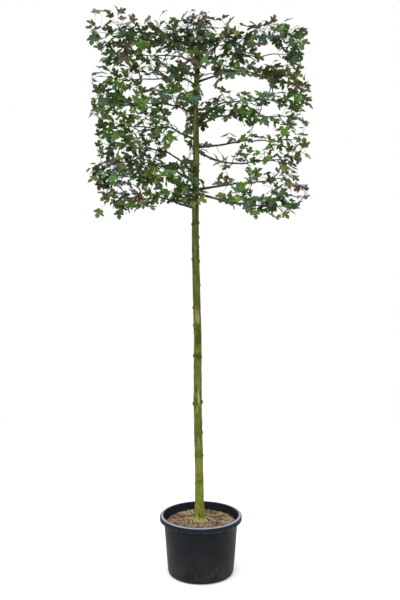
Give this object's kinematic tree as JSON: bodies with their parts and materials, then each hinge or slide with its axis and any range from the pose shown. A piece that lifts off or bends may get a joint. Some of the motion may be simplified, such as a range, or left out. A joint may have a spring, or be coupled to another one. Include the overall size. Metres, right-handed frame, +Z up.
{
  "type": "potted espaliered field maple",
  "caption": "Young broadleaf tree in a round nursery pot: tall clear stem with a flat, nearly square crown of level boughs and lobed leaves.",
  "frame": {"origin": "middle of the pot's flat underside", "axes": "+Z up along the trunk, +X to the right along the flat of the crown, -Y out of the crown's front"},
  "size_m": [1.3433, 0.514, 3.4671],
  "materials": {
    "pot": "charcoal moulded plastic, satin, slightly dusty",
    "soil": "tan-brown fibrous bark mulch",
    "trunk_bark": "smooth bark with a film of green algae, matt",
    "bough_bark": "grey-brown young bark, matt",
    "foliage": "matt green leaves on thin brown twigs"
  },
  "bodies": {
    "root": {"pot": "pot", "soil": "soil", "trunk": "trunk_bark", "bough_left_1": "bough_bark", "bough_left_2": "bough_bark", "bough_left_3": "bough_bark", "bough_left_4": "bough_bark", "bough_left_5": "bough_bark", "bough_left_6": "bough_bark", "bough_left_7": "bough_bark", "bough_left_8": "bough_bark", "bough_left_9": "bough_bark", "bough_right_1": "bough_bark", "bough_right_2": "bough_bark", "bough_right_3": "bough_bark", "bough_right_4": "bough_bark", "bough_right_5": "bough_bark", "bough_right_6": "bough_bark", "bough_right_7": "bough_bark", "bough_right_8": "bough_bark", "bough_right_9": "bough_bark", "foliage_left_1": "foliage", "foliage_left_2": "foliage", "foliage_left_3": "foliage", "foliage_left_4": "foliage", "foliage_left_5": "foliage", "foliage_left_6": "foliage", "foliage_left_7": "foliage", "foliage_left_8": "foliage", "foliage_left_9": "foliage", "foliage_right_1": "foliage", "foliage_right_2": "foliage", "foliage_right_3": "foliage", "foliage_right_4": "foliage", "foliage_right_5": "foliage", "foliage_right_6": "foliage", "foliage_right_7": "foliage", "foliage_right_8": "foliage", "foliage_right_9": "foliage", "foliage_top": "foliage"}
  },
  "joints": []
}
